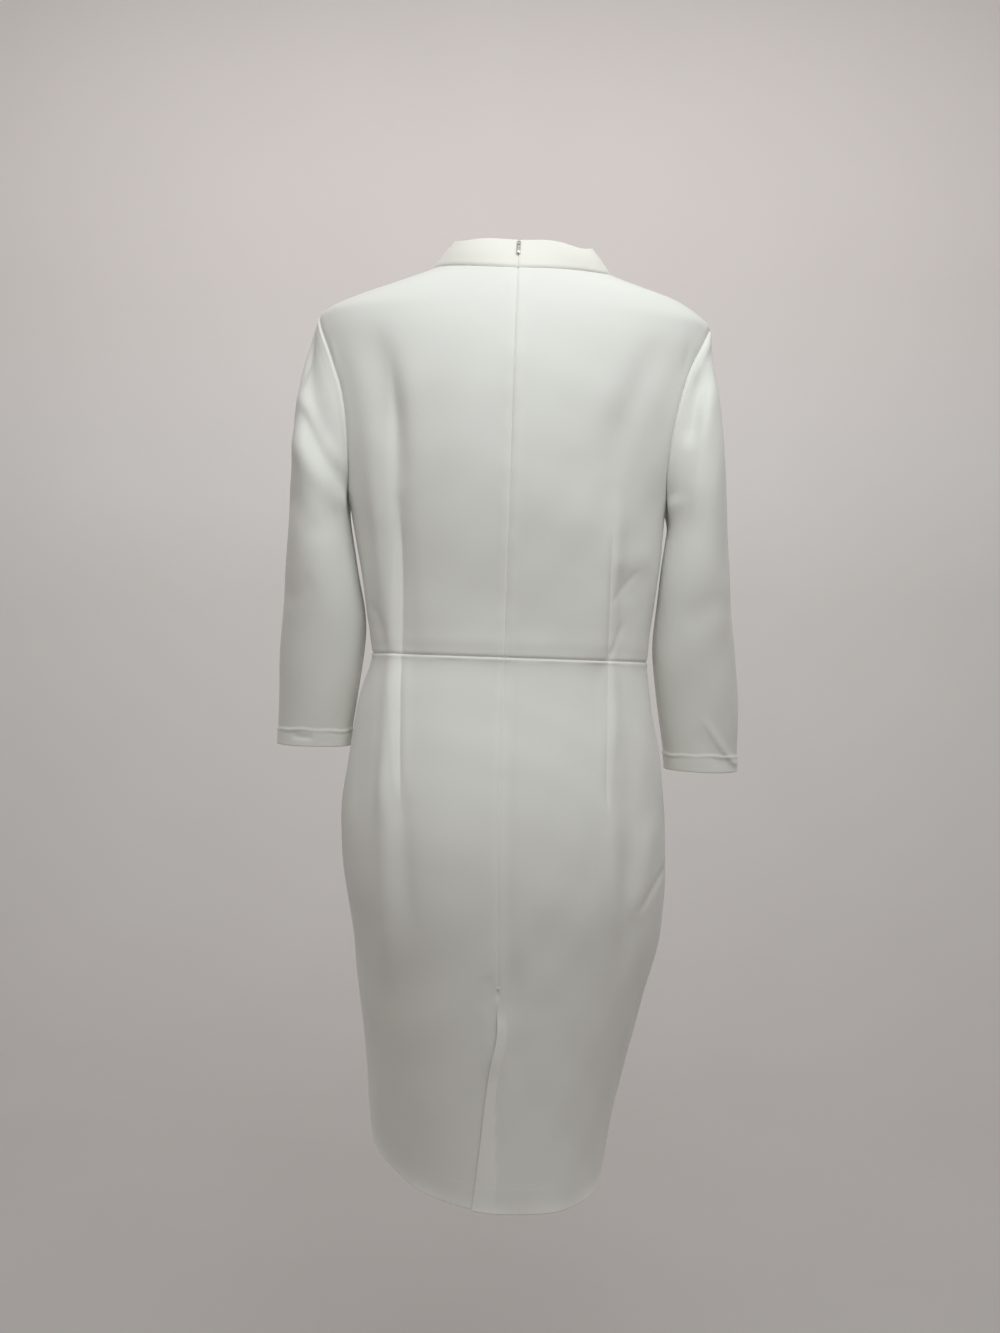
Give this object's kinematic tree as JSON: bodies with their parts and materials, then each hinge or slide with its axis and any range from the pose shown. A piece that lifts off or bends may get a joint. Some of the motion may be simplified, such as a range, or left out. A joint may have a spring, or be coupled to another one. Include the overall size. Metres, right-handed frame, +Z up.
{
  "type": "sheath dress",
  "caption": "Knee-length fitted dress in its worn form: band collar, set-in three-quarter sleeves, waist seam, centre back zip and vent; hollow, open at neck, cuffs and hem.",
  "frame": {"origin": "on the midline at the base of the neck, level with the sides of the neckline, where the wearer's neck and shoulders hold the dress up", "axes": "+Z up, +X to the wearer's left, +Y to the back; the dress leans 2 degrees to the wearer's right at the top"},
  "size_m": [0.4843, 0.2943, 0.9598],
  "materials": {
    "crepe": "matt off-white double-knit crepe",
    "collar_band": "the same crepe, stiffened, a little warmer",
    "zip_tape": "woven polyester tape",
    "zip_metal": "worn nickel plate"
  },
  "bodies": {
    "dress": {"bodice_front": "crepe", "bodice_back_left": "crepe", "bodice_back_right": "crepe", "skirt_front": "crepe", "skirt_back_left": "crepe", "skirt_back_right": "crepe", "sleeve_left": "crepe", "sleeve_right": "crepe", "collar": "collar_band", "zip_tape": "zip_tape", "zip_slider": "zip_metal"},
    "zip_pull": {"zip_pull": "zip_metal"}
  },
  "joints": [
    {"name": "pull_swing", "type": "hinge", "parent": "dress", "child": "zip_pull", "pos_m": [-0.00053, 0.05677, 0.01517], "axis": [0.9994, 0, 0.0349], "range_deg": [0, 170]}
  ]
}
